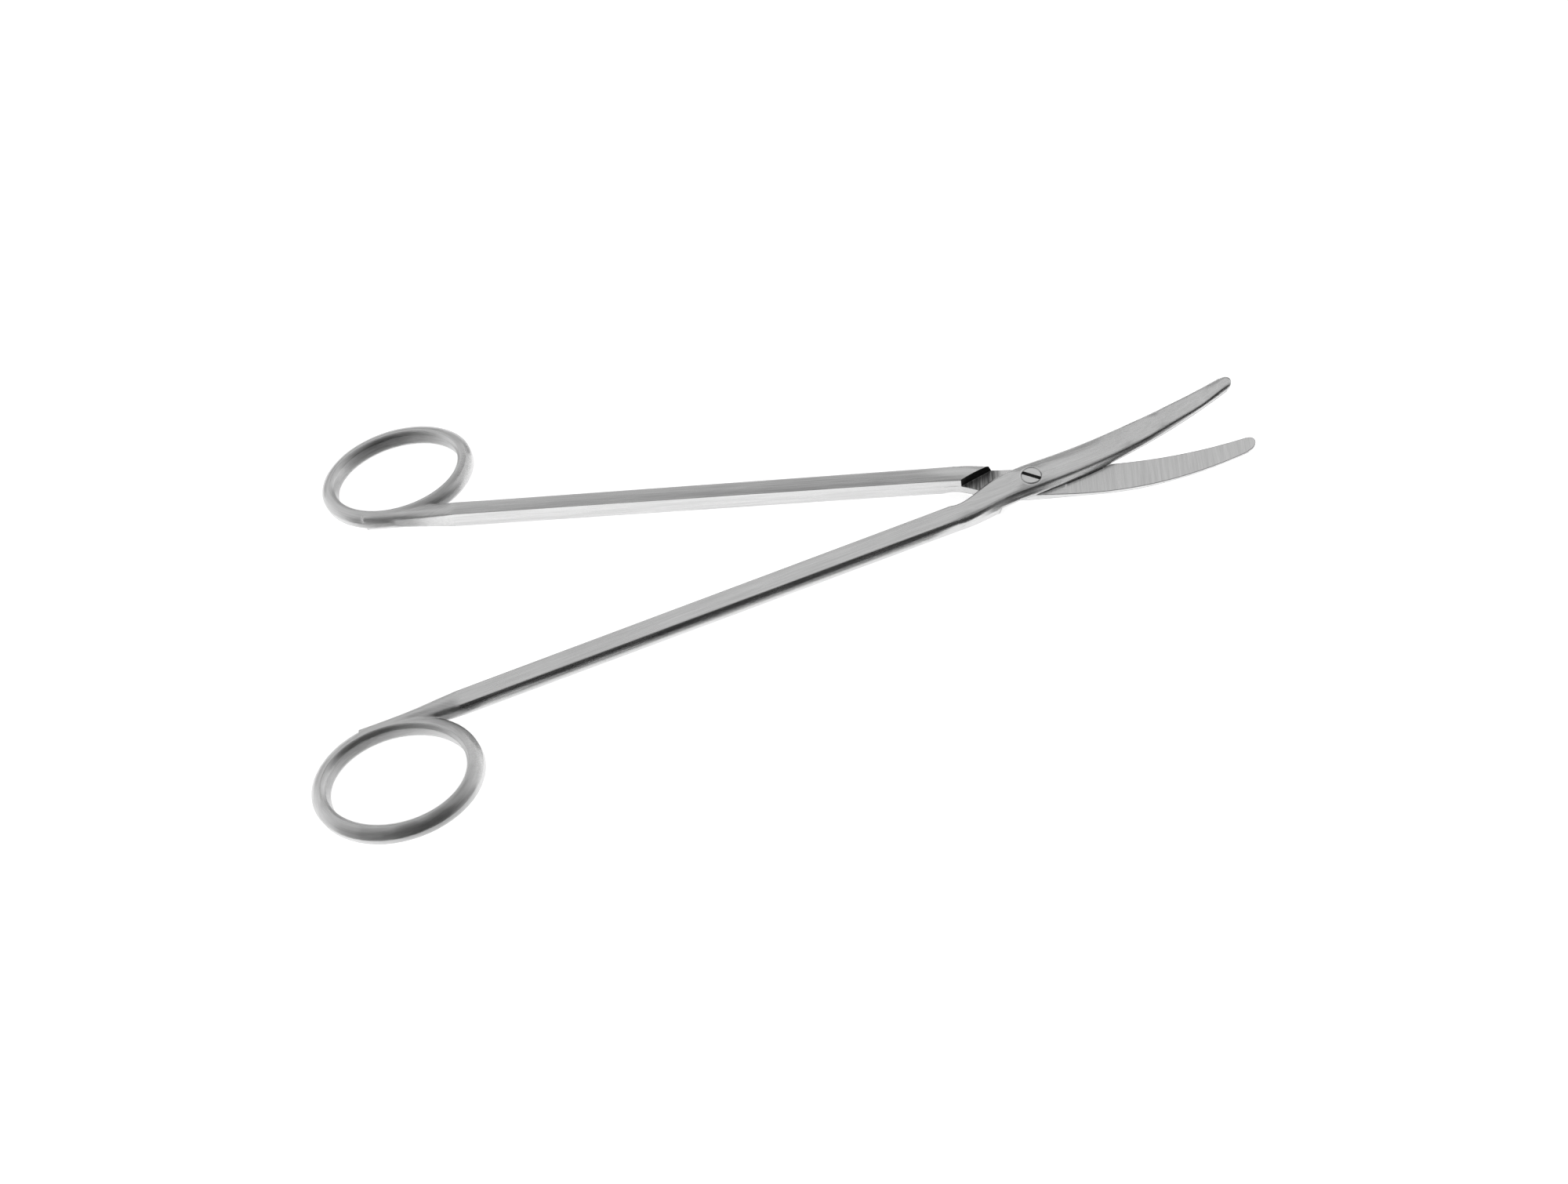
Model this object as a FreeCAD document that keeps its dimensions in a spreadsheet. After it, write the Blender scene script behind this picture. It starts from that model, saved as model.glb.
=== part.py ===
# Curved dissecting scissors, long pattern: two forged halves on one slotted screw.
# Millimetres and degrees. The origin is on the pivot axis, in the plane that the
# scissors lie on, +Z is up and +X runs from the pivot towards the tips, along the
# line that halves the opening. Each half is drawn closed, with its inner side along
# the X axis, and is then turned about the pivot by half of the opening at rest.
import FreeCAD, Part
import os
import Sketcher

V = FreeCAD.Vector
doc = FreeCAD.newDocument("dissecting_scissors")

# Driving sizes
SIZES = [
    ("thickness", 5.2, "full thickness of shanks, rings and closed joint"),
    ("half_opening", 10.4, "angle that each half is turned from closed at rest"),
    ("ring_reach", 160.1, "pivot to the middle of a finger ring, along X"),
    ("ring_offset", 15.7, "closing line to the middle of a finger ring"),
    ("ring_long", 18.15, "long half axis of the ring's centre line"),
    ("ring_short", 13.6, "short half axis of the ring's centre line"),
    ("ring_tilt", 13.5, "turn of the ring's long axis away from the shank"),
    ("ring_bar", 3.5, "width of the ring's bar"),
    ("ring_bevel", 0.8, "bevel along the two edges of the finger hole"),
    ("ring_flat", 1.9, "height of the flat round the outside of a ring"),
    ("ring_root", 17.5, "ring's middle to where the shank's full width begins"),
    ("shank_ring_width", 4.5, "width of the shank where it meets the ring"),
    ("shank_joint_width", 5.0, "width of the shank where the joint begins"),
    ("shank_ring_inset", 0.25, "closing line to the shank's inner side at the ring"),
    ("shank_joint_inset", 0.1, "closing line to the shank's inner side at the joint"),
    ("shank_crown", 0.2, "rise of the shank's top over its inner edge"),
    ("shank_round", 1.3, "rounding of the shank's outer edges"),
    ("flare_start", 16.6, "pivot to where the inner side flares out to the joint"),
    ("flare_end", 8.2, "pivot to where the flare ends"),
    ("flare_width", 2.95, "closing line to the end of the flare"),
    ("joint_back", 3.95, "pivot to the joint's back side"),
    ("joint_front", 4.15, "pivot to the joint's front side, where the edge begins"),
    ("wall_angle", 30.0, "slant of the step wall at the end of the full shank"),
    ("wall_gap", 0.15, "gap at the step wall when closed"),
    ("lap_gap", 0.03, "each lap face to the joint plane"),
    ("blade_gap", 0.1, "each ground inner face to the blades' common face"),
    ("ride_radius", 8.0, "radius of the raised lap face round the screw"),
    ("blade_reach", 50.3, "pivot to the tip"),
    ("bend_start", 11.0, "pivot to where the blades start to curve up"),
    ("bend_radius", 85.0, "radius of the blades' upward curve"),
    ("blade_back", 4.35, "widest place of the blade's back from the closing line"),
    ("back_peak", 18.0, "pivot to that widest place"),
    ("tip_back", 2.0, "blade's back at the tip, from the closing line"),
    ("tip_front", 1.7, "cutting edge at the tip, from the closing line"),
    ("tip_round", 1.75, "radius of the blunt tip in plan"),
    ("tip_thickness", 1.25, "thickness of one blade at its tip"),
    ("back_land", 1.3, "height of the blade's back at the joint, in proportion beyond"),
    ("tip_edge", 0.9, "run of the rounding of the outer face at the tip"),
    ("blade_lean", 0.38, "lean of the face behind the cutting edge, per height"),
    ("screw_diameter", 3.2, "screw's stem and the hole in the lower half"),
    ("screw_clearance", 0.04, "stem to the running hole in the upper half"),
    ("head_diameter", 4.7, "screw head"),
    ("head_thickness", 1.2, "screw head"),
    ("head_drop", 0.12, "top of the head below the joint's crown"),
    ("head_clearance", 0.06, "head to its seat in the upper half, all round"),
    ("head_chamfer", 0.15, "broken edge of the head"),
    ("slot_width", 0.9, "driver slot"),
    ("slot_depth", 0.6, "driver slot"),
    ("slot_angle", -36.0, "driver slot, from the X axis"),
]

sheet = doc.addObject("Spreadsheet::Sheet", "Sizes")
for row, (alias, value, note) in enumerate(SIZES, start=1):
    sheet.set(f"A{row}", note)
    sheet.set(f"B{row}", str(value))
    sheet.setAlias(f"B{row}", alias)
doc.recompute()

JOINT_PLANE = "Sizes.thickness / 2"
# The blades are drawn this much past the common face, and are then cut to it
ALLOWANCE = 0.8


# Sketches: every corner is pinned to a pair of expressions

def origin_plane(body, role):
    return next(item for item in body.Origin.OriginFeatures if item.Role == role)


def new_sketch(body, name, role, offset="0"):
    """A sketch on one of the body's own planes, moved along that plane's normal."""
    sketch = body.newObject("Sketcher::SketchObject", name)
    sketch.AttachmentSupport = [(origin_plane(body, role), "")]
    sketch.MapMode = "FlatFace"
    sketch.setExpression("AttachmentOffset.Base.z", offset)
    return sketch


def worth(sketch, spot):
    return V(*(float(sketch.evalExpression(str(formula))) for formula in spot), 0)


def pin(sketch, geometry, end, spot):
    """Bind one point of a piece of geometry to the expressions for its x and y."""
    place = worth(sketch, spot)
    for kind, value, formula in (("DistanceX", place.x, spot[0]), ("DistanceY", place.y, spot[1])):
        number = sketch.addConstraint(Sketcher.Constraint(kind, geometry, end, value))
        sketch.setExpression(f"Constraints[{number}]", str(formula))


def draw_outline(sketch, spots, bends=None):
    """Closed outline through the spots. An edge named in bends is an arc through that spot."""
    bends = bends or {}
    starts, ends = [], []
    for number, spot in enumerate(spots):
        first = worth(sketch, spot)
        last = worth(sketch, spots[(number + 1) % len(spots)])
        if number not in bends:
            edge = sketch.addGeometry(Part.LineSegment(first, last), False)
            starts.append((edge, 1))
            ends.append((edge, 2))
            continue
        middle = worth(sketch, bends[number])
        leftward = (middle - first).cross(last - middle).z > 0
        low, high = (first, last) if leftward else (last, first)
        edge = sketch.addGeometry(Part.Arc(low, middle, high), False)
        starts.append((edge, 1 if leftward else 2))
        ends.append((edge, 2 if leftward else 1))
        guide = sketch.addGeometry(Part.Point(middle), True)
        pin(sketch, guide, 1, bends[number])
        sketch.addConstraint(Sketcher.Constraint("PointOnObject", guide, 1, edge))
    for number, spot in enumerate(spots):
        pin(sketch, *starts[number], spot)
        sketch.addConstraint(Sketcher.Constraint("Coincident", *ends[number - 1], *starts[number]))


def draw_circle(sketch, radius):
    value = float(sketch.evalExpression(radius))
    edge = sketch.addGeometry(Part.Circle(V(0, 0, 0), V(0, 0, 1), value), False)
    sketch.addConstraint(Sketcher.Constraint("Coincident", edge, 3, -1, 1))
    number = sketch.addConstraint(Sketcher.Constraint("Radius", edge, value))
    sketch.setExpression(f"Constraints[{number}]", radius)


# Plan and profile of one half, closed, as expressions of the distance x along it.
# The back is the inner side of the shank, the front its outer side.

def between(x, x_from, x_to, low, high):
    return f"({low}) + (({high}) - ({low})) * (({x}) - ({x_from})) / (({x_to}) - ({x_from}))"


def shank_back(x):
    return "-(" + between(x, "-Sizes.ring_reach", "-Sizes.flare_start",
                          "Sizes.shank_ring_inset", "Sizes.shank_joint_inset") + ")"


def shank_front(x):
    return f"{shank_back(x)} - (" + between(x, "-Sizes.ring_reach", "-Sizes.flare_start",
                                            "Sizes.shank_ring_width", "Sizes.shank_joint_width") + ")"


def blade_back(x):
    """The back bulges to its widest place, then draws in to the tip."""
    rise = "(Sizes.blade_back - Sizes.joint_back) / Sizes.back_peak^2"
    fall = "(Sizes.blade_back - Sizes.tip_back) / (Sizes.blade_reach - Sizes.back_peak)^2"
    return f"Sizes.blade_back - (({x}) < Sizes.back_peak ? {rise} : {fall}) * (({x}) - Sizes.back_peak)^2"


def blade_front(x):
    return "-(" + between(x, "0", "Sizes.blade_reach", "Sizes.joint_front + 0.35", "Sizes.tip_front") + ")"


def common_face(x):
    """Height of the face that both blades share: flat at the joint, then an arc."""
    run = f"(({x}) > Sizes.bend_start ? ({x}) - Sizes.bend_start : 0)"
    return f"{JOINT_PLANE} + Sizes.bend_radius - sqrt(Sizes.bend_radius^2 - {run}^2)"


# One cross-section of a half: a crowned cap standing on the common face

def section(body, name, x, hand, side, front, back, crown, land, lean, round_width, base, past=0):
    """side is 1 for a cap that stands up and -1 for one that hangs down."""
    sketch = new_sketch(body, name, "YZ_Plane", x)

    def spot(across, height):
        return f"{hand} * ({across})", f"({base}) + {side} * ({height})"

    corner_low = f"({crown}) - ({round_width})"
    foot = f"({front}) - {past} * ({lean})"
    shoulder = f"({front}) + ({lean}) * ({corner_low})"
    corner_top = f"({shoulder}) + ({round_width})"
    corner_drop = f"0.25 * ({round_width})"
    corner_middle = f"({shoulder}) + 0.27 * ({round_width})", f"({crown}) - 0.52 * ({round_width})"
    corner_share = f"sqrt({corner_drop}) / (sqrt({corner_drop}) + sqrt(({crown}) - ({land})))"
    crest = f"({corner_top}) + (({back}) - ({corner_top})) * {corner_share}"
    draw_outline(sketch, [
        spot(back, -past),
        spot(back, land),
        spot(corner_top, f"({crown}) - {corner_drop}"),
        spot(shoulder, corner_low),
        spot(foot, -past),
    ], {1: spot(crest, crown), 2: spot(*corner_middle)})
    return sketch


def shank_section(body, name, x, hand, side):
    return section(body, name, x, hand, side, shank_front(x), shank_back(x), JOINT_PLANE,
                   f"{JOINT_PLANE} - Sizes.shank_crown", "0.05", "Sizes.shank_round", JOINT_PLANE)


def loft(body, name, sections, ruled):
    feature = body.newObject("PartDesign::AdditiveLoft", name)
    feature.Profile = sections[0]
    feature.Sections = sections[1:]
    feature.Ruled = ruled
    for sketch in sections:
        sketch.Visibility = False
    return feature


def pocket(body, name, sketch, reverse=False, depth=None):
    """Cut through everything on one side of the sketch, or as deep as asked."""
    feature = body.newObject("PartDesign::Pocket", name)
    feature.Profile = sketch
    feature.Reversed = reverse
    if depth is None:
        feature.Type = "ThroughAll"
    else:
        feature.Type = "Length"
        feature.setExpression("Length", depth)
    return feature


# The parts of a half

SHANK_END = "-Sizes.flare_start - 4"


def add_shank(body, hand):
    """Full-thickness shank, from inside the ring to the joint: one cap up, one down."""
    for side, word in ((1, "upper"), (-1, "under")):
        inside = "-Sizes.ring_reach - 6"
        back = f"{shank_back(inside)} - 0.1 * Sizes.ring_bar"
        drawn = [section(body, f"shank_{word}_root", inside, hand, side,
                         f"{back} - 0.75 * Sizes.ring_bar", back,
                         f"{JOINT_PLANE} - 0.2", "Sizes.ring_flat / 2", "0.05",
                         "0.3 * Sizes.ring_bar", JOINT_PLANE)]
        for word_2, x in (("full", "-Sizes.ring_reach + Sizes.ring_root"), ("end", SHANK_END)):
            drawn.append(shank_section(body, f"shank_{word}_{word_2}", x, hand, side))
        loft(body, f"shank_{word}", drawn, True)


def joint_sections(body, word, hand, side, backs):
    """The shank's front side draws in to the joint's, and the back goes where it is told."""
    start = "-Sizes.flare_start"
    middle = "-(Sizes.flare_start + Sizes.flare_end) / 2"
    stations = [
        ("middle", middle, f"({shank_front(start)} - Sizes.joint_front) / 2", 2.3, 0.12),
        ("end", "-Sizes.flare_end", "-Sizes.joint_front", 2.1, 0.22),
        ("joint", "0", "-Sizes.joint_front", 1.9, 0.34),
    ]
    drawn = [shank_section(body, f"{word}_root", SHANK_END, hand, side),
             shank_section(body, f"{word}_start", start, hand, side)]
    for (name, x, front, land, lean), back in zip(stations, backs):
        drawn.append(section(body, f"{word}_{name}", x, hand, side, front, back, JOINT_PLANE,
                             str(land), str(lean), "Sizes.shank_round * 0.7", JOINT_PLANE))
    return drawn


def add_blade(body, hand, side):
    """Joint and blade on the half's own side of the common face."""
    flare = ["(Sizes.flare_width - Sizes.shank_joint_inset) / 2", "Sizes.flare_width", "Sizes.joint_back"]
    drawn = joint_sections(body, "flare", hand, side, flare)
    tip_start = "1 - Sizes.tip_edge / Sizes.blade_reach"
    for number, share in enumerate(("0.2", "0.4", "0.6", "0.76", "0.89", tip_start, "1.01")):
        x = f"Sizes.blade_reach * ({share})"
        crown = between(x, "0", "Sizes.blade_reach", JOINT_PLANE, "Sizes.tip_thickness")
        if share == "1.01":
            crown = f"0.45 * ({crown})"
        land = f"Sizes.back_land * ({crown}) / ({JOINT_PLANE})"
        drawn.append(section(body, f"blade_{number}", x, hand, side, blade_front(x), blade_back(x),
                             crown, land, "Sizes.blade_lean",
                             f"0.25 * ({crown})", common_face(x), ALLOWANCE))
    loft(body, "blade", drawn, False)


def add_heel(body, hand, side):
    """The shank's other half of the thickness, carried on past the step wall."""
    backs = [shank_back("-Sizes.flare_start")] * 3
    loft(body, "heel", joint_sections(body, "heel", hand, -side, backs), False)


def cut_inner_face(body, side):
    """Ground inner face: turned about the pivot axis, so that the curved blades pass."""
    sketch = new_sketch(body, "inner_face_profile", "XZ_Plane")
    reach = "Sizes.blade_reach * 1.12"
    lap = f"{JOINT_PLANE} + {side} * Sizes.lap_gap"
    blade = f"{JOINT_PLANE} + {side} * Sizes.blade_gap"
    radius = f"(Sizes.bend_radius - {side} * Sizes.blade_gap)"
    middle = f"(({reach}) + Sizes.bend_start) / 2"

    def on_arc(x):
        return x, (f"{JOINT_PLANE} + Sizes.bend_radius"
                   f" - sqrt({radius}^2 - (({x}) - Sizes.bend_start)^2)")

    far = "-5" if side > 0 else "40"
    draw_outline(sketch, [
        ("0", far),
        ("0", lap),
        ("Sizes.ride_radius", lap),
        ("Sizes.ride_radius + 0.3", blade),
        ("Sizes.bend_start", blade),
        on_arc(reach),
        (reach, far),
    ], {4: on_arc(middle)})
    groove = body.newObject("PartDesign::Groove", "inner_face")
    groove.Profile = sketch
    groove.ReferenceAxis = (sketch, ["V_Axis"])
    groove.Midplane = True
    groove.Angle = 190


def cut_step(body, hand, side):
    """Recess for the other half's joint, ending at the slanted step wall."""
    sketch = new_sketch(body, "step_outline", "XY_Plane", f"{JOINT_PLANE} + {side} * Sizes.lap_gap")
    start_x = "-Sizes.flare_start + Sizes.wall_gap"
    slope = "tan(Sizes.wall_angle)"
    inside, outside = "12", "-12"

    def on_wall(across):
        x = f"({start_x}) - (({across}) + Sizes.shank_joint_inset) / {slope}"
        return x, f"{hand} * ({across})"

    draw_outline(sketch, [
        on_wall("3"),
        ("0.5", f"{hand} * {inside}"),
        ("0.5", f"{hand} * {outside}"),
        on_wall("-8"),
    ])
    pocket(body, "step", sketch, reverse=side < 0)


def cut_tip(body, hand):
    """Blunt round tip in plan."""
    sketch = new_sketch(body, "tip_outline", "XY_Plane", "40")
    centre_x = "Sizes.blade_reach - Sizes.tip_round"
    centre_y = "(Sizes.tip_back - Sizes.tip_front) / 2"
    draw_outline(sketch, [
        (centre_x, f"{hand} * ({centre_y} - 1.06 * Sizes.tip_round)"),
        (centre_x, f"{hand} * (-9)"),
        ("Sizes.blade_reach + 8", f"{hand} * (-9)"),
        ("Sizes.blade_reach + 8", f"{hand} * 9"),
        (centre_x, f"{hand} * 9"),
        (centre_x, f"{hand} * ({centre_y} + 1.06 * Sizes.tip_round)"),
    ], {5: ("Sizes.blade_reach", f"{hand} * ({centre_y})")})
    pocket(body, "tip", sketch)


def add_ring(body, hand):
    """Oval finger ring, swept round a tilted ellipse that runs into the shank."""
    path = new_sketch(body, "ring_path", "XY_Plane", JOINT_PLANE)
    tilt = f"(-{hand} * Sizes.ring_tilt)"
    centre = "-Sizes.ring_reach", f"-{hand} * Sizes.ring_offset"
    long_end = (f"{centre[0]} + Sizes.ring_long * cos({tilt})",
                f"{centre[1]} + Sizes.ring_long * sin({tilt})")
    short_end = (f"{centre[0]} - Sizes.ring_short * sin({tilt})",
                 f"{centre[1]} + Sizes.ring_short * cos({tilt})")
    oval = path.addGeometry(Part.Ellipse(*(worth(path, spot) for spot in (long_end, short_end, centre))), False)
    path.exposeInternalGeometry(oval)
    long_axis, short_axis = oval + 1, oval + 2
    near = (path.getPoint(long_axis, 1) - worth(path, long_end)).Length < 0.01
    pin(path, oval, 3, centre)
    pin(path, long_axis, 1 if near else 2, long_end)
    short_span = path.addConstraint(Sketcher.Constraint("Distance", short_axis, path.Geometry[short_axis].length()))
    path.setExpression(f"Constraints[{short_span}]", "2 * Sizes.ring_short")
    cut = pocket(body, "ring_eye", path)
    cut.Midplane = True

    profile = new_sketch(body, "ring_profile", "XZ_Plane", f"-({long_end[1]})")
    profile.AttachmentOffset = FreeCAD.Placement(V(0, 0, 0), FreeCAD.Rotation(V(0, 1, 0), 1))
    profile.setExpression("AttachmentOffset.Rotation.Angle", tilt)
    profile.setExpression("AttachmentOffset.Base.x", long_end[0])
    profile.setExpression("AttachmentOffset.Base.y", JOINT_PLANE)
    profile.recompute()
    inner, outer = "-Sizes.ring_bar / 2", "Sizes.ring_bar / 2"
    top, flat = "Sizes.thickness / 2", "Sizes.ring_flat / 2"
    crest = f"{inner} + Sizes.ring_bevel"
    run, drop = f"({outer} - ({crest}))", f"({top} - {flat})"
    round_radius = f"(({run}^2 + {drop}^2) / (2 * {drop}))"
    half_turn = f"(asin({run} / {round_radius}) / 2)"
    knee = f"{crest} + {round_radius} * sin({half_turn})", f"{top} - {round_radius} * (1 - cos({half_turn}))"
    draw_outline(profile, [
        (inner, f"Sizes.ring_bevel - {top}"),
        (inner, f"{top} - Sizes.ring_bevel"),
        (crest, top),
        (outer, flat),
        (outer, f"-{flat}"),
        (crest, f"-{top}"),
    ], {2: knee, 4: (knee[0], f"-({knee[1]})")})
    ring = body.newObject("PartDesign::AdditivePipe", "ring")
    ring.Profile = profile
    ring.Spine = path
    ring.Mode = "Frenet"


def make_half(name, hand, side):
    """hand is 1 where the back faces +Y; side is 1 for the half that laps on top."""
    body = doc.addObject("PartDesign::Body", name)
    body.Label = name
    add_shank(body, hand)
    add_blade(body, hand, side)
    add_heel(body, hand, side)
    cut_inner_face(body, side)
    cut_step(body, hand, side)
    cut_tip(body, hand)
    add_ring(body, hand)
    body.Placement = FreeCAD.Placement(V(0, 0, 0), FreeCAD.Rotation(V(0, 0, 1), 1))
    body.setExpression("Placement.Rotation.Angle", f"{hand} * Sizes.half_opening")
    return body


def bore(body, name, radius, height="0", reverse=False, through=True):
    sketch = new_sketch(body, f"{name}_circle", "XY_Plane", height)
    draw_circle(sketch, radius)
    feature = pocket(body, name, sketch, reverse)
    feature.Midplane = through
    return feature


SEAT = "Sizes.thickness - Sizes.head_drop - Sizes.head_thickness"


def make_upper_half():
    body = make_half("upper_half", 1, 1)
    bore(body, "running_hole", "Sizes.screw_diameter / 2 + Sizes.screw_clearance")
    bore(body, "head_seat", "Sizes.head_diameter / 2 + Sizes.head_clearance",
         f"{SEAT} - Sizes.head_clearance", reverse=True, through=False)
    return body


def make_lower_half():
    """The underside at the joint is ground flat, level with the rings, to lie on."""
    body = make_half("lower_half", -1, -1)
    ground = new_sketch(body, "ground_outline", "XY_Plane")
    edge = "Sizes.bend_start + 9"
    draw_outline(ground, [(f"-({edge})", "-9"), (edge, "-9"), (edge, "9"), (f"-({edge})", "9")])
    pocket(body, "ground", ground)
    bore(body, "screw_hole", "Sizes.screw_diameter / 2")
    return body


def make_screw():
    """Joint screw: slotted head in the upper half, stem ground flush with the underside."""
    body = doc.addObject("PartDesign::Body", "joint_screw")
    body.Label = "joint_screw"
    profile = new_sketch(body, "screw_profile", "XZ_Plane")
    stem, head = "Sizes.screw_diameter / 2", "Sizes.head_diameter / 2"
    top = "Sizes.thickness - Sizes.head_drop"
    draw_outline(profile, [
        ("0", "0"),
        (stem, "0"),
        (stem, SEAT),
        (head, SEAT),
        (head, f"{top} - Sizes.head_chamfer"),
        (f"{head} - Sizes.head_chamfer", top),
        ("0", top),
    ])
    turned = body.newObject("PartDesign::Revolution", "turned")
    turned.Profile = profile
    turned.ReferenceAxis = (profile, ["V_Axis"])
    turned.Angle = 360
    slot_outline = new_sketch(body, "slot_outline", "XY_Plane", top)
    half = "Sizes.slot_width / 2"
    draw_outline(slot_outline, [
        (f"-{head}", f"-{half}"),
        (head, f"-{half}"),
        (head, half),
        (f"-{head}", half),
    ])
    pocket(body, "slot", slot_outline, depth="Sizes.slot_depth")
    body.Placement = FreeCAD.Placement(V(0, 0, 0), FreeCAD.Rotation(V(0, 0, 1), 1))
    body.setExpression("Placement.Rotation.Angle", "Sizes.slot_angle")
    return body


nodes = [make_upper_half(), make_lower_half(), make_screw()]
doc.recompute()

for item in doc.Objects:
    if "Invalid" in item.State or "Error" in item.State:
        raise RuntimeError(f"{item.Name} failed: {item.State}")
os.makedirs("parts", exist_ok=True)
for node in nodes:
    shape = node.Shape
    if shape.isNull() or not shape.isValid() or len(shape.Solids) != 1:
        raise RuntimeError(f"{node.Label} is not one valid solid")
    shape.exportStep(f"parts/{node.Label}.step")
    box = shape.BoundBox
    print(f"{node.Label}: {shape.Volume:.1f} mm3, {box.XMin:.2f}..{box.XMax:.2f},"
          f" {box.YMin:.2f}..{box.YMax:.2f}, {box.ZMin:.2f}..{box.ZMax:.2f}")
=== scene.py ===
"""Looks of the curved dissecting scissors: satin steel halves, slotted joint screw, white stage."""
import math
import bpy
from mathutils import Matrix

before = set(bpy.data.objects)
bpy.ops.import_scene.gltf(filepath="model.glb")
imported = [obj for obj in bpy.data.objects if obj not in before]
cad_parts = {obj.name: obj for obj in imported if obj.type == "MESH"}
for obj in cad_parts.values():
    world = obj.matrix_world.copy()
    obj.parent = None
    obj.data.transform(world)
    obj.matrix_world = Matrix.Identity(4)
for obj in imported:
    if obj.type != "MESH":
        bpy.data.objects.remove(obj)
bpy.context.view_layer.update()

from types import SimpleNamespace

import bpy
from bpy.props import FloatProperty, FloatVectorProperty, PointerProperty
from mathutils import Matrix, Vector

bl_info = {
    "name": "Dissecting scissors",
    "version": (1, 0, 0),
    "blender": (4, 5, 0),
    "location": "View3D > Sidebar > Scissors",
    "description": "Satin steel finish and a white studio stage for curved dissecting scissors",
    "category": "Object",
}

# Over how many metres of a half one finish runs into the next
GROUND_RUN = 0.0004
RECESS_RUN = 0.002
STEP_RUN = 0.001
PLANE_RUN = 0.0001
SHANK_LEAD, SHANK_RUN = 0.002, 0.006
SIDE_RUN = 0.0014
RING_RUN = 0.004
SWELL_LEAD, SWELL_RUN = 0.006, 0.016

# Share of a face's normal along one axis, from off the part to on it
LEVEL_FACE = (0.8, 0.9)
CROWN_FACE = (0.84, 0.95)
WALL_FACE = (0.25, 0.4)
FRONT_FACE = (0.0, -0.5)
EDGE_TURN = (0.995, 0.85)

# Brushing marks: their heights from deep to high, and the shades and roughness that they give
MARK_HEIGHTS = (0.55, 1.25)
FELT_HEIGHTS = (0.6, 1.2)
# Heights of the cross-hatched marks in the recess, laid over its painted shade
RECESS_MARK_HEIGHTS = (0.75, 1.05)
STEEL_SHADES = (0.88, 1.08)
SCREW_SHADES = (0.97, 1.1)
# Shades of those marks, as a share of the recess's painted shade
RECESS_MARK_SHADES = (2.0, 5.5)
# Painted shade on the step wall, as a share of the recess's colour
PAINTED_WALL_SHADE = 0.3
# Painted shade in the screw's slot, as a share of that colour
PAINTED_SLOT_SHADE = 0.9
# Painted shade along the edges, as a share of the steel's colour, and how much of it the edges take
PAINTED_EDGE_SHADE, PAINTED_EDGE_SHARE = 0.55, 0.8
MARK_ROUGHNESS = 0.05
UNEVEN_ROUGHNESS = 0.03
EDGE_POLISH = 0.7
RECESS_ROUGHNESS = 0.5
SCREW_ROUGHNESS = (0.2, 0.28)
SATIN_STRETCH = 0.35
CROSS_GRAIN = 1.6
COARSE_MARKS, COARSE_SHARE = (0.35, 0.22, 0.22), 0.8
CLOUDS_PER_METRE, CLOUD_HEIGHTS = 90.0, (0.3, 0.7)

# The ring's length over its width, and the middle radius of its bar
RING_RATIO, RING_RADIUS = 1.3, 0.017

# Heights between which the painted shade in the screw's slot gives way to the bright steel
SLOT_HEIGHTS = (0.00455, 0.0048)

# Cards: left and right end of the lower edge, then of the upper one
NEAR_CARD = ((-3.0, -1.6, 0.02), (3.0, -1.6, 0.02), (-3.0, -0.5, 1.7), (3.0, -0.5, 1.7))
FAR_CARD = ((-3.0, 1.6, 0.04), (1.4, 1.6, 0.04), (-3.0, 1.6, 0.95), (1.4, 1.6, 0.95))
CARD_BLACK, CARD_FADE, CARD_ROUGHNESS = 0.012, 2.52, 0.9
FLOOR_COLOUR = (0.95, 0.95, 0.95, 1.0)
WHITE = (1.0, 1.0, 1.0, 1.0)

# Share of straight up in a direction, where the studio starts and ends to darken
LOW_SKY = (0.2, 0.7)
HIGH_SKY = (0.82, 0.965)

SENSOR_WIDTH = 36.0
CLIP = (0.01, 100.0)


# What a user may change

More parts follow.
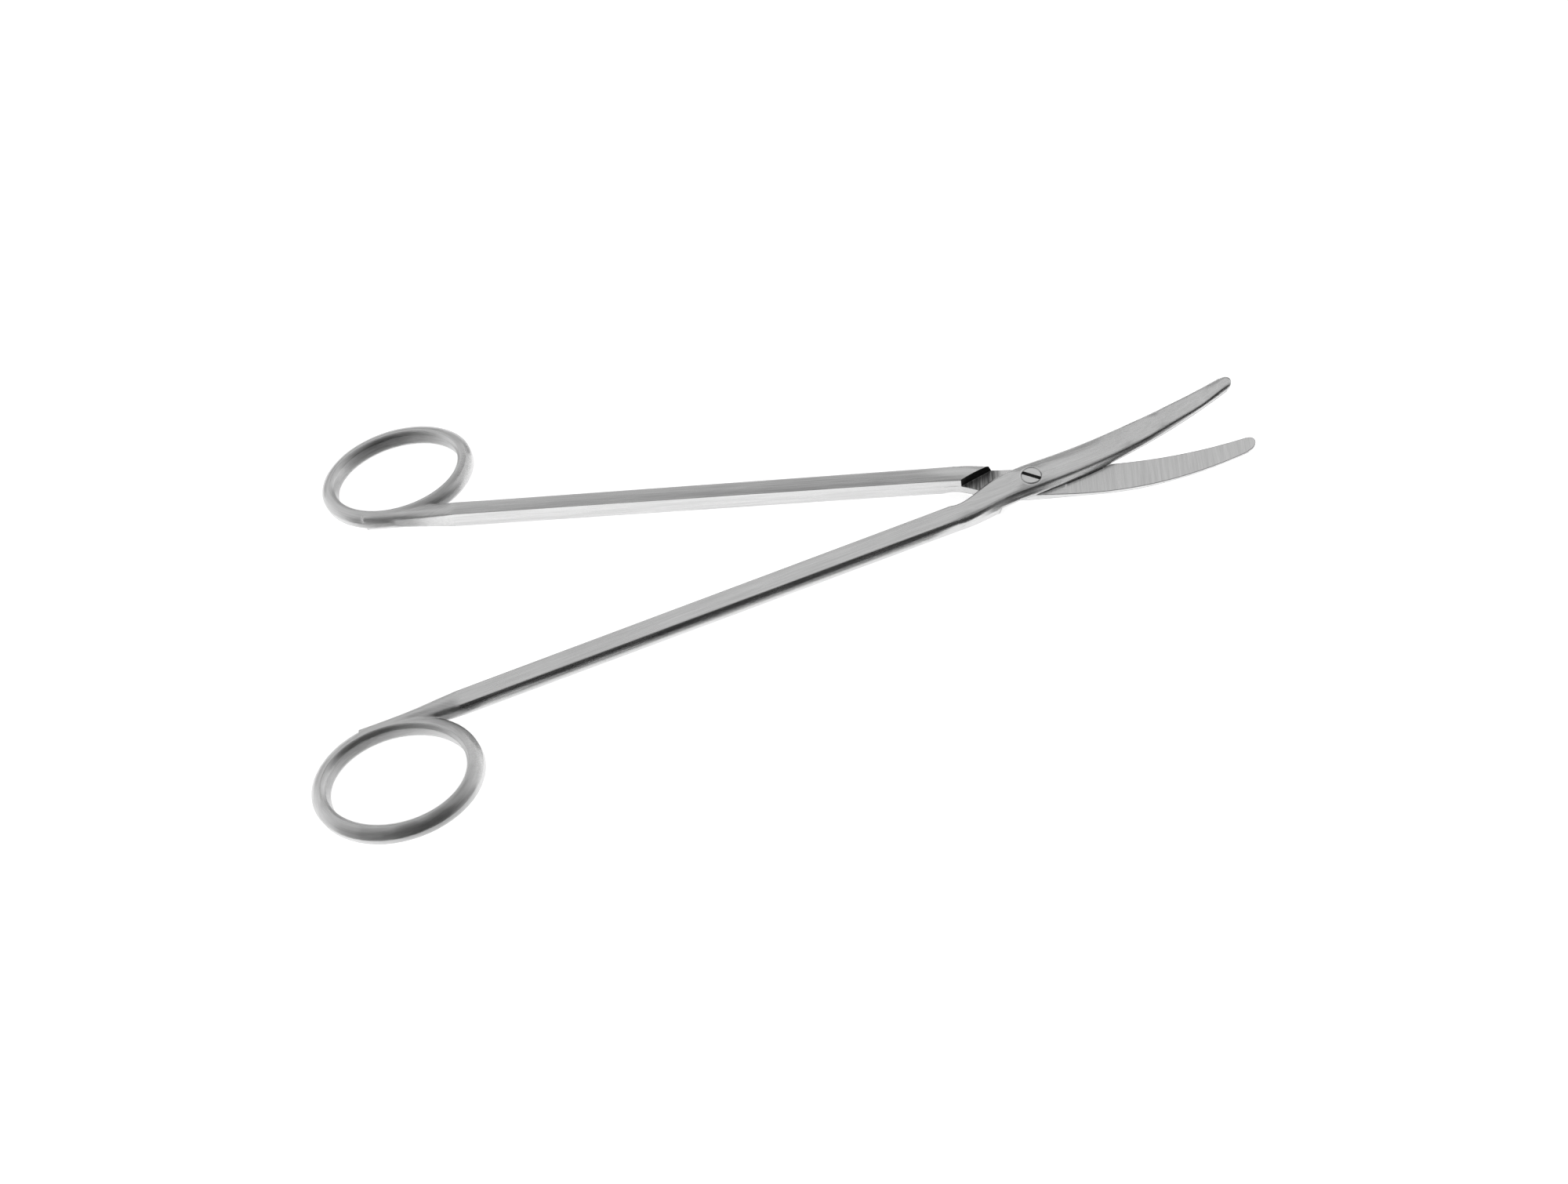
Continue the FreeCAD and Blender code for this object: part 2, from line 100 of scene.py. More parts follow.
class SteelSettings(bpy.types.PropertyGroup):
    """Finish of the forged halves and of the screw, and the shade painted into the joint's recess and the
    screw's slot
    """
    steel: FloatVectorProperty(
        name="Steel", description="Colour of the satin steel",
        subtype="COLOR", size=3, min=0, max=1, default=(0.71, 0.71, 0.71))
    # Painted shade in the recess at the joint and in the screw's slot
    recess_and_slot_shade: FloatVectorProperty(
        name="Recess and slot shade", description="Painted shade in the recess at the joint and in the screw's slot",
        subtype="COLOR", size=3, min=0, max=1, default=(0.09, 0.09, 0.09))
    satin: FloatProperty(
        name="Satin", description="Roughness of the shanks and the backs of the blades",
        min=0, max=1, default=0.24)
    ring_satin: FloatProperty(
        name="Ring satin", description="Roughness of the finger rings",
        min=0, max=1, default=0.36)
    ground: FloatProperty(
        name="Ground face", description="Roughness of the blades' ground inner faces",
        min=0, max=1, default=0.21)
    grain_width: FloatProperty(
        name="Grain width", description="Width of one brushing mark",
        unit="LENGTH", min=0.00002, max=0.002, default=0.00012)
    grain_length: FloatProperty(
        name="Grain length", description="Length of one brushing mark",
        unit="LENGTH", min=0.0002, max=0.05, default=0.006)
    grain_depth: FloatProperty(
        name="Grain depth", description="Depth of the brushing marks",
        unit="LENGTH", min=0, max=0.0001, default=0.000004)
    edge_round: FloatProperty(
        name="Edge round", description="Rounding that shows along the edges of ground and inner faces",
        unit="LENGTH", min=0, max=0.001, default=0.0002)
    blade_round: FloatProperty(
        name="Blade round", description="Rounding that shows along the outer edges of joint and blades",
        unit="LENGTH", min=0, max=0.002, default=0.0008)
    shank_round: FloatProperty(
        name="Shank round", description="Rounding that shows along a shank's outer side",
        unit="LENGTH", min=0, max=0.003, default=0.0015)
    ring_round: FloatProperty(
        name="Ring round", description="Rounding that shows along a finger ring's bar",
        unit="LENGTH", min=0, max=0.003, default=0.001)
    crown_flatness: FloatProperty(
        name="Crown flatness", description="How far the polish flattens the top of a shank",
        subtype="FACTOR", min=0, max=1, default=0.85)
    crown_slope: FloatProperty(
        name="Crown slope", description="Slope of a shank's top towards its inner side",
        subtype="ANGLE", unit="ROTATION", default=math.radians(10.0))
    shank_swell: FloatProperty(
        name="Shank swell", description="How far the outer side of a shank turns up towards its top",
        min=0, max=1, default=0.54)
    ring_swell: FloatProperty(
        name="Ring swell", description="How far the sides of a finger ring turn up towards its top",
        min=0, max=1, default=0.55)
    joint_swell: FloatProperty(
        name="Joint swell", description="How far the front of the joint turns up towards its top",
        min=0, max=1, default=0.5)
    blade_swell: FloatProperty(
        name="Blade swell", description="How far the front of a blade turns up towards its top",
        min=0, max=1, default=0.2)


class ShapeSettings(bpy.types.PropertyGroup):
    """Places on a half, measured from the pivot with the scissors closed"""
    half_opening: FloatProperty(
        name="Half opening", description="Angle that each half is turned at rest",
        subtype="ANGLE", unit="ROTATION", default=math.radians(10.4))
    ring_reach: FloatProperty(
        name="Ring reach", description="Pivot to the middle of a finger ring, along the shank",
        unit="LENGTH", default=0.1601)
    ring_offset: FloatProperty(
        name="Ring offset", description="Closing line to the middle of a finger ring",
        unit="LENGTH", default=0.0157)
    ring_start: FloatProperty(
        name="Ring start", description="Pivot to where the marks turn round the ring",
        unit="LENGTH", default=0.141)
    blade_start: FloatProperty(
        name="Blade start", description="Pivot to where the ground face begins",
        unit="LENGTH", default=0.0085)
    step_start: FloatProperty(
        name="Step start", description="Pivot to the far end of the step wall",
        unit="LENGTH", default=0.0225)
    outer_side: FloatProperty(
        name="Outer side", description="Closing line to where a shank's outer side begins",
        unit="LENGTH", default=0.0036)
    joint_plane: FloatProperty(
        name="Joint plane", description="Height of the plane in which the halves meet",
        unit="LENGTH", default=0.0026)


class StageSettings(bpy.types.PropertyGroup):
    """Floor, cards and camera"""
    floor_size: FloatProperty(
        name="Floor", description="Width of the white floor", unit="LENGTH", default=30.0)
    floor_white: FloatProperty(
        name="Floor white", description="White that the eye and the steel see over the floor's own shade",
        min=0, max=1, default=0.62)
    horizon: FloatProperty(
        name="Horizon", description="Brightness of the studio at the horizon",
        min=0, max=2, default=1.0)
    middle: FloatProperty(
        name="Middle", description="Brightness of the studio half-way up",
        min=0, max=2, default=0.68)
    zenith: FloatProperty(
        name="Zenith", description="Brightness of the studio overhead",
        min=0, max=2, default=0.34)
    card_half: FloatProperty(
        name="Dark card", description="Half the width of the near card's black middle",
        unit="LENGTH", min=0, max=3, default=0.5)
    card_grey: FloatProperty(
        name="Card ends", description="Shade of the near card at its ends",
        min=0, max=1, default=0.35)
    far_grey: FloatProperty(
        name="Far card", description="Shade of the low card on the far side",
        min=0, max=1, default=0.5)
    azimuth: FloatProperty(
        name="Azimuth", description="Camera's turn to the right of the near side",
        subtype="ANGLE", unit="ROTATION", default=math.radians(4.2268))
    elevation: FloatProperty(
        name="Elevation", description="Camera's height above the horizon",
        subtype="ANGLE", unit="ROTATION", default=math.radians(54.932))
    roll: FloatProperty(
        name="Roll", description="Camera's turn about its own line of sight",
        subtype="ANGLE", unit="ROTATION", default=math.radians(-15.4498))
    distance: FloatProperty(
        name="Distance", description="Camera to the point that it looks at",
        unit="LENGTH", default=0.35595)
    target: FloatVectorProperty(
        name="Target", description="Point on the floor that the camera looks at",
        subtype="TRANSLATION", size=3, default=(-0.062332, -0.014452, 0))
    lens: FloatProperty(
        name="Lens", description="Focal length in millimetres on a 36 mm sensor",
        default=34.954)


# Node trees

def feed(tree, socket, value):
    """Link a socket to another one, or set its value."""
    if isinstance(value, bpy.types.NodeSocket):
        tree.links.new(value, socket)
    else:
        socket.default_value = value


def feed_all(tree, node, inputs):
    for name, value in inputs.items():
        feed(tree, node.inputs[name], value)


def add_node(tree, kind, inputs=None, **settings):
    """A node with its settings made and its inputs set or linked."""
    node = tree.nodes.new(kind)
    for name, value in settings.items():
        setattr(node, name, value)
    feed_all(tree, node, inputs or {})
    return node


def math_node(tree, operation, *values, clamp=False):
    inputs = dict(enumerate(values))
    return add_node(tree, "ShaderNodeMath", inputs, operation=operation, use_clamp=clamp).outputs[0]


def times(tree, first, second):
    return math_node(tree, "MULTIPLY", first, second)


def vector_math(tree, operation, *values):
    return add_node(tree, "ShaderNodeVectorMath", dict(enumerate(values)), operation=operation).outputs[0]


def split(tree, vector):
    """The X, Y and Z of a vector."""
    parts = add_node(tree, "ShaderNodeSeparateXYZ", {0: vector})
    return parts.outputs["X"], parts.outputs["Y"], parts.outputs["Z"]


def join(tree, x=0.0, y=0.0, z=0.0):
    return add_node(tree, "ShaderNodeCombineXYZ", {"X": x, "Y": y, "Z": z}).outputs[0]


def length_of(tree, first, second):
    """Long side of a right angle's triangle."""
    squares = math_node(tree, "ADD", times(tree, first, first), times(tree, second, second))
    return math_node(tree, "SQRT", squares)


def ramp(tree, value, low, high, low_out=0.0, high_out=1.0, smooth=True):
    """Value goes from low_out to high_out while the input goes from low to high."""
    node = add_node(tree, "ShaderNodeMapRange", {
        "Value": value, "From Min": low, "From Max": high, "To Min": low_out, "To Max": high_out,
    }, interpolation_type="SMOOTHSTEP" if smooth else "LINEAR")
    return node.outputs["Result"]


# Where a Mix node of each kind keeps its two inputs and its output
MIX_SOCKETS = {"FLOAT": (2, 3, 0), "VECTOR": (4, 5, 1), "RGBA": (6, 7, 2)}


def mix(tree, share, first, second, kind="FLOAT"):
    """The first value where share is 0, and the second where it is 1."""
    first_input, second_input, output = MIX_SOCKETS[kind]
    node = add_node(tree, "ShaderNodeMix", {
        0: share, first_input: first, second_input: second}, data_type=kind)
    return node.outputs[output]


def turn(tree, vector, angle, kind):
    """Vector turned about Z. kind is POINT for a place and VECTOR for a direction."""
    node = add_node(tree, "ShaderNodeMapping", {
        "Vector": vector, "Rotation": (0.0, 0.0, angle)}, vector_type=kind)
    return node.outputs[0]


def convert_normal(tree, normal, source, target):
    node = add_node(tree, "ShaderNodeVectorTransform", {0: normal},
                    vector_type="NORMAL", convert_from=source, convert_to=target)
    return node.outputs[0]


def new_group(name, inputs, outputs):
    """An empty shader node group with named inputs (kind, default) and outputs."""
    tree = bpy.data.node_groups.new(name, "ShaderNodeTree")
    for label, (kind, default) in inputs.items():
        socket = tree.interface.new_socket(label, in_out="INPUT", socket_type=kind)
        if default is not None:
            socket.default_value = default
    for label, kind in outputs.items():
        tree.interface.new_socket(label, in_out="OUTPUT", socket_type=kind)
    return tree, tree.nodes.new("NodeGroupInput"), tree.nodes.new("NodeGroupOutput")


def brushing_group():
    """Long fine marks along X, plus a broad unevenness of the polish."""
    tree, given, made = new_group("brushing", {
        "Vector": ("NodeSocketVector", None),
        "Width": ("NodeSocketFloat", 0.0001),
        "Length": ("NodeSocketFloat", 0.005),
    }, {"Height": "NodeSocketFloat", "Unevenness": "NodeSocketFloat"})
    across = math_node(tree, "DIVIDE", 1.0, given.outputs["Width"])
    along = math_node(tree, "DIVIDE", 1.0, given.outputs["Length"])
    stretched = vector_math(tree, "MULTIPLY", given.outputs["Vector"], join(tree, along, across, across))
    fine = add_node(tree, "ShaderNodeTexNoise", {
        "Vector": stretched, "Scale": 1.0, "Detail": 2.0, "Roughness": 0.6})
    coarse = add_node(tree, "ShaderNodeTexNoise", {
        "Vector": vector_math(tree, "MULTIPLY", stretched, COARSE_MARKS), "Scale": 1.0, "Detail": 1.0})
    height = math_node(tree, "ADD", fine.outputs["Fac"], times(tree, coarse.outputs["Fac"], COARSE_SHARE))
    cloud = add_node(tree, "ShaderNodeTexNoise", {
        "Vector": given.outputs["Vector"], "Scale": CLOUDS_PER_METRE, "Detail": 3.0, "Roughness": 0.55})
    tree.links.new(height, made.inputs["Height"])
    tree.links.new(ramp(tree, cloud.outputs["Fac"], *CLOUD_HEIGHTS), made.inputs["Unevenness"])
    return tree


def ring_marks_group():
    """Turns a half's own place into one whose X runs round the finger ring."""
    tree, given, made = new_group("ring_marks", {
        "Vector": ("NodeSocketVector", None),
        "Reach": ("NodeSocketFloat", 0.16),
        "Offset": ("NodeSocketFloat", 0.0157),
    }, {"Vector": "NodeSocketVector"})
    x, y, z = split(tree, given.outputs["Vector"])
    x = math_node(tree, "ADD", x, given.outputs["Reach"])
    y = times(tree, math_node(tree, "ADD", y, given.outputs["Offset"]), RING_RATIO)
    along = times(tree, math_node(tree, "ARCTAN2", y, x), RING_RADIUS)
    tree.links.new(join(tree, along, length_of(tree, x, y), z), made.inputs["Vector"])
    return tree


def polished_dark_edge_group():
    """Mask of the edges, where the rounded normal leaves the true one, for their polish and for the dark
    line of shade painted along them.
    """
    tree, given, made = new_group("polished_dark_edge", {
        "Rounded": ("NodeSocketVector", None),
        "True": ("NodeSocketVector", None),
    }, {"Mask": "NodeSocketFloat"})
    dot = add_node(tree, "ShaderNodeVectorMath", {
        0: given.outputs["Rounded"], 1: given.outputs["True"]}, operation="DOT_PRODUCT")
    tree.links.new(ramp(tree, dot.outputs["Value"], *EDGE_TURN), made.inputs["Mask"])
    return tree


GROUPS = {"brushing": brushing_group, "ring_marks": ring_marks_group, "polished_dark_edge": polished_dark_edge_group}


def group_node(tree, name, inputs):
    """A shared group, built the first time that a material asks for it."""
    group = bpy.data.node_groups.get(name) or GROUPS[name]()
    return add_node(tree, "ShaderNodeGroup", inputs, node_tree=group)


def new_material(name):
    material = bpy.data.materials.new(name)
    material.use_nodes = True
    tree = material.node_tree
    tree.nodes.clear()
    shader = tree.nodes.new("ShaderNodeBsdfPrincipled")
    output = tree.nodes.new("ShaderNodeOutputMaterial")
    tree.links.new(shader.outputs[0], output.inputs["Surface"])
    return material, tree, shader


def shaded(colour, factor):
    return tuple(channel * factor for channel in colour) + (1.0,)


def marked_colour(tree, height, heights, colour, shades):
    """Colour that is darker in the marks than on them."""
    deep, high = (shaded(colour, shade) for shade in shades)
    return mix(tree, ramp(tree, height, *heights), deep, high, "RGBA")


# Steel of the halves. A place on a half is read as if closed, with its front at negative Y
# on either hand. hand is 1 where the half turns anticlockwise at rest, and -1 on the other.

def own_place(tree, hand, shape):
    coordinates = tree.nodes.new("ShaderNodeTexCoord")
    closed = turn(tree, coordinates.outputs["Object"], -hand * shape.half_opening, "POINT")
    return vector_math(tree, "MULTIPLY", closed, (1.0, float(hand), 1.0))


def half_parts(tree, place, true_normal, hand, shape):
    """Masks that are 1 on a part of the half and 0 off it."""
    x, y, z = split(tree, place)
    _, _, up = split(tree, true_normal)
    parts = SimpleNamespace()

    # The inner face of the upper half looks down, and that of the lower half up
    parts.inner = ramp(tree, up, *(-hand * level for level in LEVEL_FACE))
    ground = ramp(tree, x, shape.blade_start - GROUND_RUN, shape.blade_start)
    parts.blade = times(tree, parts.inner, ground)
    parts.joint = ramp(tree, x, shape.blade_start, -shape.blade_start)

    # The recess is the part of the joint plane between blade and step wall, with the wall
    own_normal = convert_normal(tree, true_normal, "WORLD", "OBJECT")
    ahead, _, _ = split(tree, turn(tree, own_normal, -hand * shape.half_opening, "VECTOR"))
    parts.wall = ramp(tree, ahead, *WALL_FACE)
    off_plane = math_node(tree, "ABSOLUTE", math_node(tree, "SUBTRACT", z, shape.joint_plane))
    joint_floor = times(tree, parts.inner, ramp(tree, off_plane, 2 * PLANE_RUN, PLANE_RUN))
    stretch = times(tree, ramp(tree, x, -shape.blade_start + RECESS_RUN, -shape.blade_start),
                    ramp(tree, x, -shape.step_start - STEP_RUN, -shape.step_start))
    parts.recess = times(tree, stretch, math_node(tree, "MAXIMUM", joint_floor, parts.wall))

    parts.shank = ramp(tree, x, -shape.blade_start - SHANK_LEAD, -shape.step_start - SHANK_RUN)
    side = ramp(tree, y, -shape.outer_side + SIDE_RUN, -shape.outer_side)
    parts.outer = times(tree, parts.shank, side)
    parts.ring = ramp(tree, x, -shape.ring_start, -shape.ring_start - RING_RUN)
    parts.near_ring = ramp(tree, x, -shape.ring_start + SWELL_LEAD, -shape.ring_start - SWELL_RUN)
    crown = ramp(tree, math_node(tree, "ABSOLUTE", up), *CROWN_FACE)
    bare_shank = math_node(tree, "SUBTRACT", parts.shank, parts.ring, clamp=True)
    parts.top = times(tree, bare_shank, crown)
    return parts


def half_marks(tree, place, parts, steel, shape):
    """Brushing along the shank, round the ring and across the ground face."""
    widths = {"Width": steel.grain_width, "Length": steel.grain_length}
    x, y, z = split(tree, place)
    round_ring = group_node(tree, "ring_marks", {
        "Vector": place, "Reach": shape.ring_reach, "Offset": shape.ring_offset})
    along = group_node(tree, "brushing", {"Vector": place, **widths})
    around = group_node(tree, "brushing", {"Vector": round_ring.outputs[0], **widths})
    across = group_node(tree, "brushing", {
        "Vector": join(tree, y, x, z), "Width": steel.grain_width * CROSS_GRAIN,
        "Length": steel.grain_length})
    height = mix(tree, parts.ring, along.outputs["Height"], around.outputs["Height"])
    height = mix(tree, parts.blade, height, across.outputs["Height"])
    return height, across.outputs["Height"], along.outputs["Unevenness"]


def edge_radius(tree, parts, steel):
    """Crisp along the inner faces, wider along blades, shanks and rings."""
    inner_sides = math_node(tree, "SUBTRACT", parts.shank, parts.outer)
    crisp = math_node(tree, "MAXIMUM", math_node(tree, "MAXIMUM", parts.inner, parts.recess), inner_sides)
    radius = mix(tree, crisp, steel.blade_round, steel.edge_round)
    radius = mix(tree, parts.outer, radius, steel.shank_round)
    return mix(tree, parts.ring, radius, steel.ring_round)


def half_surface(tree, parts, true_normal, hand, steel, shape):
    """Normal that the polish leaves: nearly flat tops on the shanks, and swelling outer sides."""
    rounded = add_node(tree, "ShaderNodeBevel", {"Radius": edge_radius(tree, parts, steel)}, samples=8)
    own = convert_normal(tree, rounded.outputs[0], "WORLD", "OBJECT")
    _, _, up = split(tree, true_normal)
    aside = math.sin(steel.crown_slope)
    flat = join(tree, -aside * math.sin(shape.half_opening), hand * aside * math.cos(shape.half_opening),
                times(tree, math_node(tree, "SIGN", up), math.cos(steel.crown_slope)))
    polished = mix(tree, times(tree, parts.top, steel.crown_flatness), own, flat, "VECTOR")

    _, sideways, level = split(tree, polished)
    front = ramp(tree, times(tree, sideways, float(hand)), *FRONT_FACE)
    swell = times(tree, front, mix(tree, parts.joint, steel.blade_swell, steel.joint_swell))
    swell = mix(tree, parts.shank, swell, 0.0)
    swell = mix(tree, parts.outer, swell, steel.shank_swell)
    swell = mix(tree, parts.near_ring, swell, steel.ring_swell)
    steep = math_node(tree, "SUBTRACT", 1.0, math_node(tree, "ABSOLUTE", level), clamp=True)
    lifted = vector_math(tree, "ADD", polished, join(tree, z=times(tree, steep, swell)))
    return convert_normal(tree, vector_math(tree, "NORMALIZE", lifted), "OBJECT", "WORLD")


def half_roughness(tree, parts, height, uneven, edge, steel):
    roughness = mix(tree, parts.ring, steel.satin, steel.ring_satin)
    roughness = mix(tree, parts.blade, roughness, steel.ground)
    for value, heights, reach in ((uneven, (0.0, 1.0), UNEVEN_ROUGHNESS),
                                  (height, FELT_HEIGHTS, MARK_ROUGHNESS)):
        roughness = math_node(tree, "ADD", roughness, ramp(tree, value, *heights, -reach, reach, False))
    roughness = mix(tree, edge, roughness, steel.satin * EDGE_POLISH)
    return mix(tree, parts.recess, roughness, RECESS_ROUGHNESS)


def half_colour(tree, parts, height, cross_height, edge, steel):
    colour = marked_colour(tree, height, MARK_HEIGHTS, steel.steel, STEEL_SHADES)
    # Painted shade: a dark line along the edges
    colour = mix(tree, times(tree, edge, PAINTED_EDGE_SHARE), colour, shaded(steel.steel, PAINTED_EDGE_SHADE), "RGBA")
    # Painted shade in the recess at the joint, with its real cross-hatched marks, and deeper painted
    # shade on the step wall
    recess_shade = marked_colour(tree, cross_height, RECESS_MARK_HEIGHTS, steel.recess_and_slot_shade, RECESS_MARK_SHADES)
    recess_shade = mix(tree, parts.wall, recess_shade, shaded(steel.recess_and_slot_shade, PAINTED_WALL_SHADE), "RGBA")
    return mix(tree, parts.recess, colour, recess_shade, "RGBA")


def half_steel(name, hand, steel, shape):
    """Satin steel of one forged half, with shade painted into its recess, onto its step wall and along
    its edges.
    """
    material, tree, shader = new_material(name)
    geometry = tree.nodes.new("ShaderNodeNewGeometry")
    true_normal = geometry.outputs["True Normal"]
    place = own_place(tree, hand, shape)
    parts = half_parts(tree, place, true_normal, hand, shape)
    height, cross_height, uneven = half_marks(tree, place, parts, steel, shape)
    crisp = add_node(tree, "ShaderNodeBevel", {"Radius": steel.edge_round}, samples=6)
    edge = group_node(tree, "polished_dark_edge", {
        "Rounded": crisp.outputs[0], "True": geometry.outputs["Normal"]}).outputs[0]
    bump = add_node(tree, "ShaderNodeBump", {
        "Height": height, "Distance": steel.grain_depth, "Strength": 1.0,
        "Normal": half_surface(tree, parts, true_normal, hand, steel, shape)})
    feed_all(tree, shader, {
        "Base Color": half_colour(tree, parts, height, cross_height, edge, steel),
        "Metallic": 1.0,
        "Roughness": half_roughness(tree, parts, height, uneven, edge, steel),
        "Normal": bump.outputs[0],
        "Anisotropic": SATIN_STRETCH})
    return material


def screw_steel(steel):
    """Turned steel of the joint screw, with marks round its own axis and shade painted into its slot."""
    material, tree, shader = new_material("turned_steel")
    coordinates = tree.nodes.new("ShaderNodeTexCoord")
    x, y, z = split(tree, coordinates.outputs["Object"])
    marks = group_node(tree, "brushing", {
        "Vector": join(tree, 0.0, length_of(tree, x, y), z),
        "Width": steel.grain_width, "Length": steel.grain_length})
    height = marks.outputs["Height"]
    rounded = add_node(tree, "ShaderNodeBevel", {"Radius": steel.edge_round * EDGE_POLISH}, samples=6)
    colour = marked_colour(tree, height, MARK_HEIGHTS, steel.steel, SCREW_SHADES)
    # Painted shade in the slot, below the top of the screw's head
    dark = shaded(steel.recess_and_slot_shade, PAINTED_SLOT_SHADE)
    colour = mix(tree, ramp(tree, z, *SLOT_HEIGHTS), dark, colour, "RGBA")
    bump = add_node(tree, "ShaderNodeBump", {
        "Height": height, "Distance": steel.grain_depth, "Strength": 1.0,
        "Normal": rounded.outputs[0]})
    feed_all(tree, shader, {
        "Base Color": colour, "Metallic": 1.0, "Normal": bump.outputs[0],
        "Roughness": ramp(tree, marks.outputs["Unevenness"], 0.0, 1.0, *SCREW_ROUGHNESS, False)})
    return material


# Pieces

def dress(node, material):
    """Give a CAD node its finish in every material slot that it came with."""
    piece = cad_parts[node]
    if not piece.material_slots:
        raise RuntimeError(f"{node} came without a material slot")
    for slot in piece.material_slots:
        slot.material = material


class FinishHalves(bpy.types.Operator):
    """Brushed and ground steel on the two forged halves, with shade painted into the recess and along the
    edges
    """
    bl_idname = "scissors.halves"
    bl_label = "Forged halves"

    def execute(self, context):
        steel, shape = context.scene.scissors_steel, context.scene.scissors_shape
        for node, hand in (("upper_half", 1), ("lower_half", -1)):
            dress(node, half_steel(f"{node}_steel", hand, steel, shape))
        return {"FINISHED"}


class FinishScrew(bpy.types.Operator):
    """Turned steel on the slotted joint screw, with shade painted into the slot"""
    bl_idname = "scissors.screw"
    bl_label = "Joint screw"

    def execute(self, context):
        dress("joint_screw", screw_steel(context.scene.scissors_steel))
        return {"FINISHED"}


# Stage

def floor_material(stage):
    """White to the eye and in the steel, with the object's own shadow left in it."""
    material = bpy.data.materials.new("white_floor")
    material.use_nodes = True
    tree = material.node_tree
    tree.nodes.clear()
    rays = tree.nodes.new("ShaderNodeLightPath")
    seen = math_node(tree, "ADD", rays.outputs["Is Camera Ray"], rays.outputs["Is Glossy Ray"])
    seen = math_node(tree, "ADD", seen, rays.outputs["Is Transmission Ray"], clamp=True)
    shade = add_node(tree, "ShaderNodeBsdfDiffuse", {"Color": FLOOR_COLOUR})
    white = add_node(tree, "ShaderNodeEmission", {
        "Color": WHITE, "Strength": times(tree, seen, stage.floor_white)})
    both = add_node(tree, "ShaderNodeAddShader", {0: shade.outputs[0], 1: white.outputs[0]})
    add_node(tree, "ShaderNodeOutputMaterial", {"Surface": both.outputs[0]})
    return material


def card_material(name, grey, dark_half):
    """Matt grey card. With a dark half width given, its middle is black and its ends grey."""
    material, tree, shader = new_material(name)
    colour = (grey, grey, grey, 1.0)
    if dark_half:
        coordinates = tree.nodes.new("ShaderNodeTexCoord")
        x, _, _ = split(tree, coordinates.outputs["Object"])
        aside = math_node(tree, "ABSOLUTE", x)
        shade = ramp(tree, aside, dark_half, dark_half * CARD_FADE, CARD_BLACK, grey)
        colour = join(tree, shade, shade, shade)
    feed_all(tree, shader, {"Base Color": colour, "Roughness": CARD_ROUGHNESS})
    return material


def add_plane(name, size, corners=None):
    """A plane of the stage, with its corners moved where they are given."""
    bpy.ops.object.select_all(action="DESELECT")
    bpy.ops.mesh.primitive_plane_add(size=size)
    plane = bpy.context.object
    plane.name = name
    if corners:
        for vertex, corner in zip(plane.data.vertices, corners):
            vertex.co = corner
    return plane


def add_card(name, corners, grey, dark_half=0.0):
    """Card that only the steel sees."""
    card = add_plane(name, 1.0, corners)
    card.data.materials.append(card_material(name, grey, dark_half))
    card.visible_camera = False
    card.visible_diffuse = False
    card.visible_shadow = False


def studio_world(stage):
    """Plain pale studio: white at the horizon, greyer overhead."""
    world = bpy.data.worlds.new("studio")
    bpy.context.scene.world = world
    world.use_nodes = True
    tree = world.node_tree
    tree.nodes.clear()
    direction = tree.nodes.new("ShaderNodeTexCoord")
    _, _, up = split(tree, direction.outputs["Generated"])
    low = ramp(tree, up, *LOW_SKY, stage.horizon, stage.middle)
    high = ramp(tree, up, *HIGH_SKY, 1.0, stage.zenith / stage.middle)
    sky = add_node(tree, "ShaderNodeBackground", {"Color": WHITE, "Strength": times(tree, low, high)})
    add_node(tree, "ShaderNodeOutputWorld", {"Surface": sky.outputs[0]})


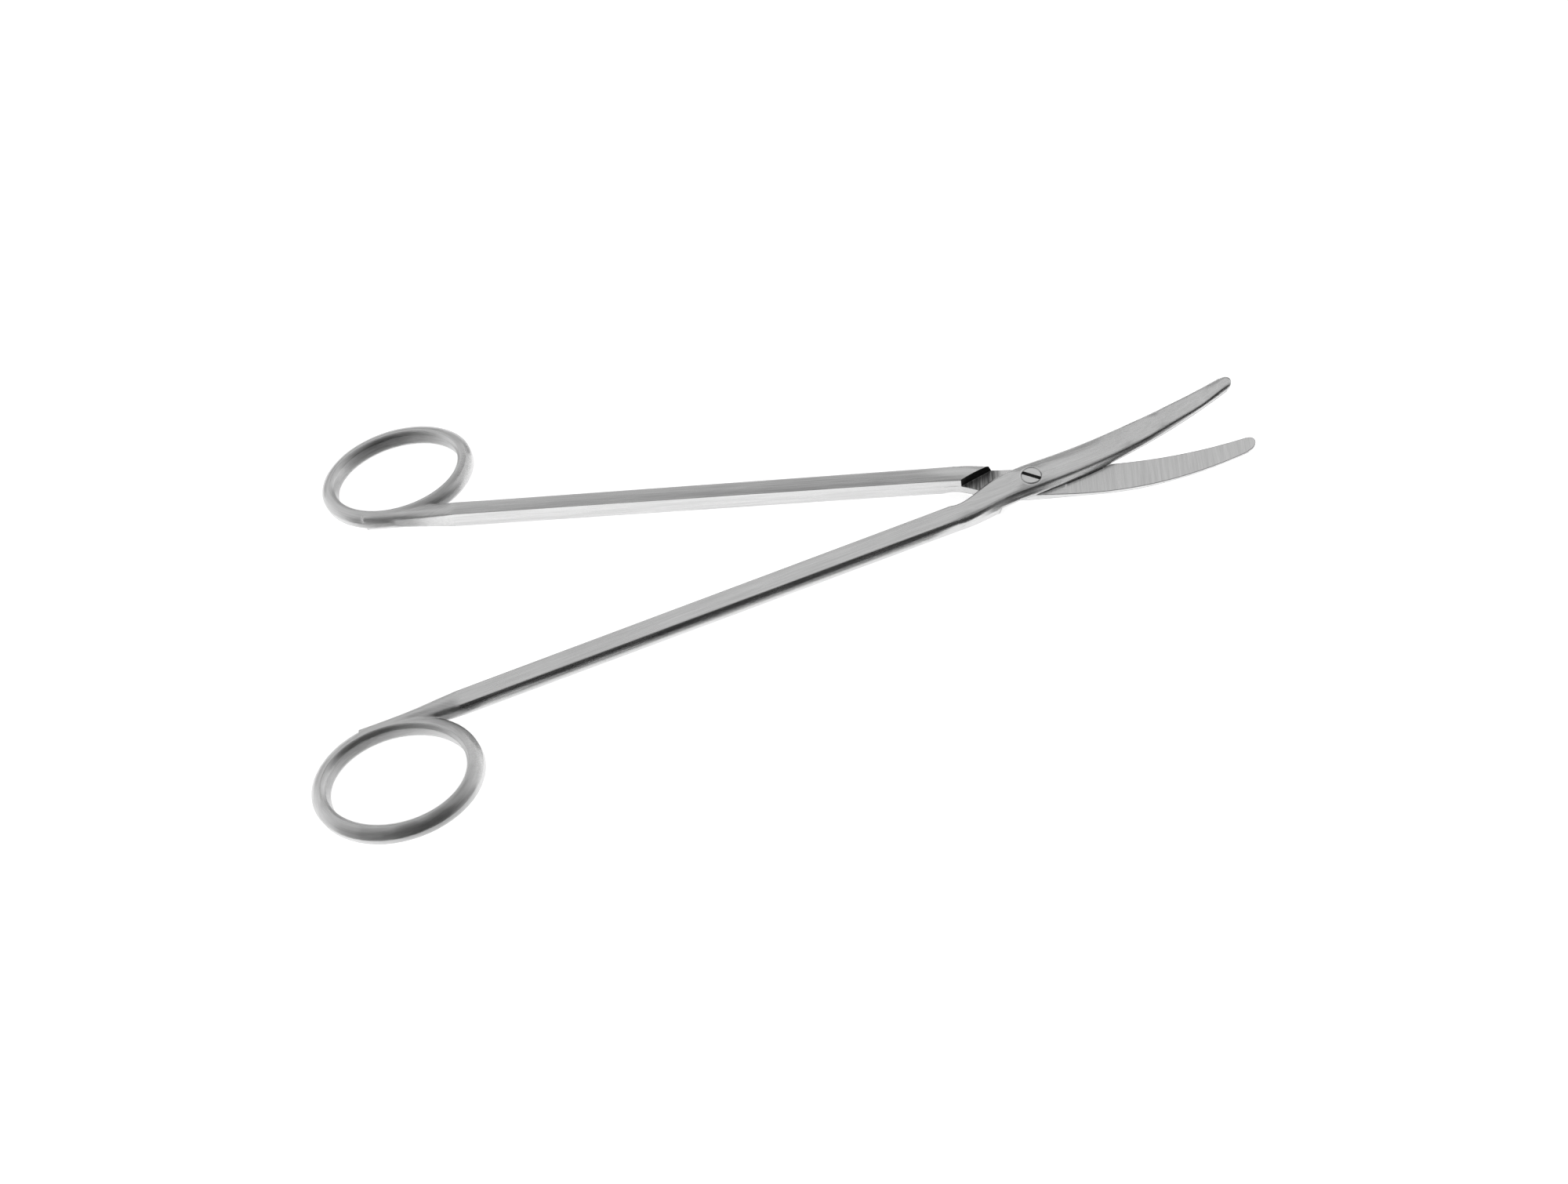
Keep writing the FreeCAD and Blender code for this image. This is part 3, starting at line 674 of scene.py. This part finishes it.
def add_camera(stage):
    """Camera at the photograph's angle."""
    azimuth, elevation, roll = stage.azimuth, stage.elevation, stage.roll
    back = Vector((math.sin(azimuth) * math.cos(elevation),
                   -math.cos(azimuth) * math.cos(elevation), math.sin(elevation)))
    right = Vector((0, 0, 1)).cross(back).normalized()
    up = back.cross(right)
    turned_right = right * math.cos(roll) + up * math.sin(roll)
    turned_up = up * math.cos(roll) - right * math.sin(roll)
    data = bpy.data.cameras.new("camera")
    data.lens = stage.lens
    data.sensor_width = SENSOR_WIDTH
    data.clip_start, data.clip_end = CLIP
    camera = bpy.data.objects.new("camera", data)
    bpy.context.scene.collection.objects.link(camera)
    axes = Matrix((turned_right, turned_up, back)).transposed().to_4x4()
    camera.matrix_world = Matrix.Translation(Vector(stage.target) + back * stage.distance) @ axes
    bpy.context.scene.camera = camera


class BuildStage(bpy.types.Operator):
    """White floor, pale studio, a card on the near and one on the far side, and the camera"""
    bl_idname = "scissors.stage"
    bl_label = "Stage"

    def execute(self, context):
        stage = context.scene.scissors_stage
        floor = add_plane("floor", stage.floor_size)
        floor.data.materials.append(floor_material(stage))
        add_card("near_card", NEAR_CARD, stage.card_grey, stage.card_half)
        add_card("far_card", FAR_CARD, stage.far_grey)
        studio_world(stage)
        add_camera(stage)
        context.scene.view_settings.view_transform = "Standard"
        return {"FINISHED"}


class ScissorsPanel(bpy.types.Panel):
    """Steps and sizes of the scissors"""
    bl_idname = "VIEW3D_PT_scissors"
    bl_label = "Scissors"
    bl_space_type = "VIEW_3D"
    bl_region_type = "UI"
    bl_category = "Scissors"

    def draw(self, context):
        for operator in STEPS:
            self.layout.operator(operator.bl_idname)
        for name in SETTINGS:
            group = getattr(context.scene, name)
            self.layout.label(text=type(group).__doc__)
            for field in group.__annotations__:
                self.layout.prop(group, field)


STEPS = (FinishHalves, FinishScrew, BuildStage)
SETTINGS = {
    "scissors_steel": SteelSettings,
    "scissors_shape": ShapeSettings,
    "scissors_stage": StageSettings,
}


def register():
    for name, group in SETTINGS.items():
        bpy.utils.register_class(group)
        setattr(bpy.types.Scene, name, PointerProperty(type=group))
    for item in (*STEPS, ScissorsPanel):
        bpy.utils.register_class(item)


def unregister():
    for item in reversed((*STEPS, ScissorsPanel)):
        bpy.utils.unregister_class(item)
    for name, group in SETTINGS.items():
        delattr(bpy.types.Scene, name)
        bpy.utils.unregister_class(group)


def main():
    register()
    bpy.ops.scissors.halves()
    bpy.ops.scissors.screw()
    bpy.ops.scissors.stage()


if __name__ == "__main__":
    main()
